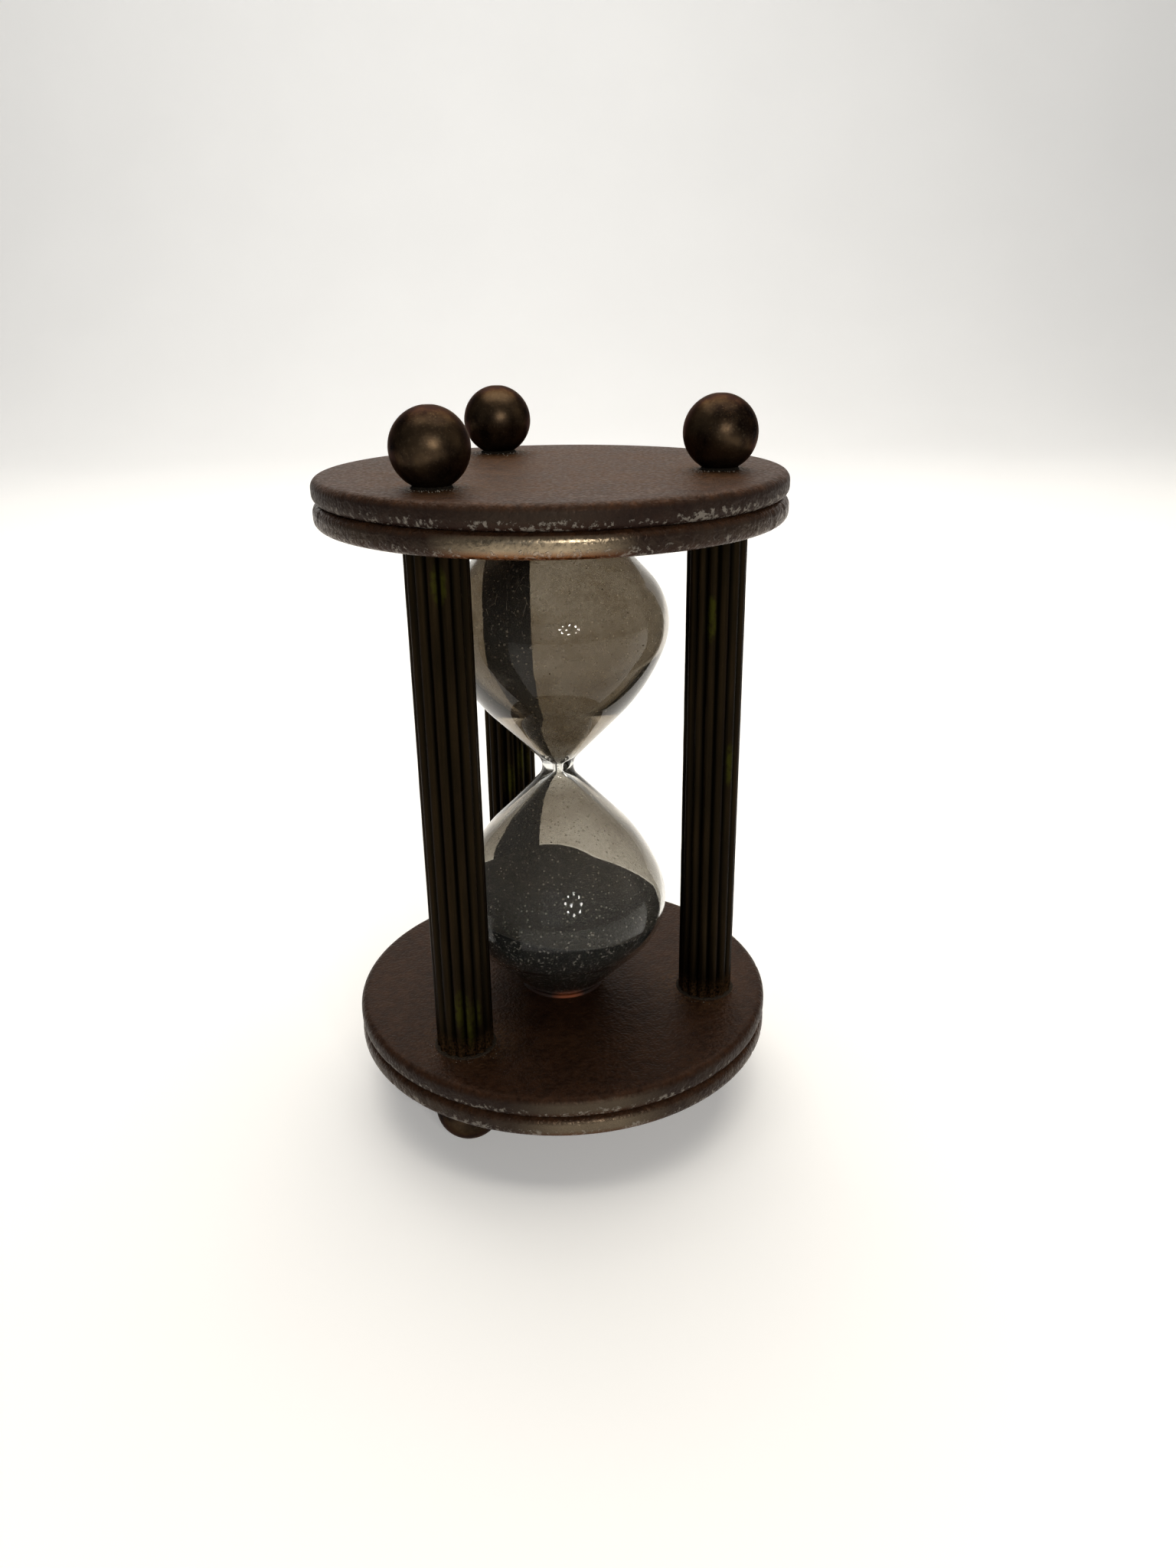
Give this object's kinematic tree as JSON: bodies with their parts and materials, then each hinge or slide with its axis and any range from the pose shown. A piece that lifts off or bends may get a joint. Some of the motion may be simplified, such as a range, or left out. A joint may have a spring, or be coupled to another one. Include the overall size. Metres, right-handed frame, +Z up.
{
  "type": "hourglass",
  "caption": "Sand timer: a sealed two-bulb glass with dark sand, in a metal stand of stacked round plates, reeded columns, ball feet and ball finials.",
  "frame": {"origin": "point on the floor below the middle of the glass, at the height of the three feet's resting flats", "axes": "+Z up along the glass; -Y front, between the two front columns; +X to the right seen from the front; the third column stands at +Y"},
  "size_m": [0.127, 0.127, 0.2086],
  "materials": {
    "bronzed_plate": "antiqued copper-bronze plating, dull and mottled, worn to grey metal on the rims",
    "column_brass": "darkened brass, reeded, with worn yellow-green patches",
    "ball_brass": "turned brass, dark brown patina with a satin sheen",
    "rod_steel": "plain threaded rod",
    "bush_brass": "turned",
    "glass": "blown clear glass, inside hazed by a film of dust",
    "sand": "fine charcoal-black grains with pale specks",
    "seat_leather": "orange-brown, cut edge showing"
  },
  "bodies": {
    "root": {"bottom_outer_plate": "bronzed_plate", "bottom_inner_plate": "bronzed_plate", "top_inner_plate": "bronzed_plate", "top_outer_plate": "bronzed_plate", "glass_vessel": "glass", "sand": "sand", "lower_seat": "seat_leather", "upper_seat": "seat_leather", "column_back": "column_brass", "tie_rod_back": "rod_steel", "lower_bush_back": "bush_brass", "upper_bush_back": "bush_brass", "foot_back": "ball_brass", "finial_back": "ball_brass", "column_front_left": "column_brass", "tie_rod_front_left": "rod_steel", "lower_bush_front_left": "bush_brass", "upper_bush_front_left": "bush_brass", "foot_front_left": "ball_brass", "finial_front_left": "ball_brass", "column_front_right": "column_brass", "tie_rod_front_right": "rod_steel", "lower_bush_front_right": "bush_brass", "upper_bush_front_right": "bush_brass", "foot_front_right": "ball_brass", "finial_front_right": "ball_brass"}
  },
  "joints": []
}
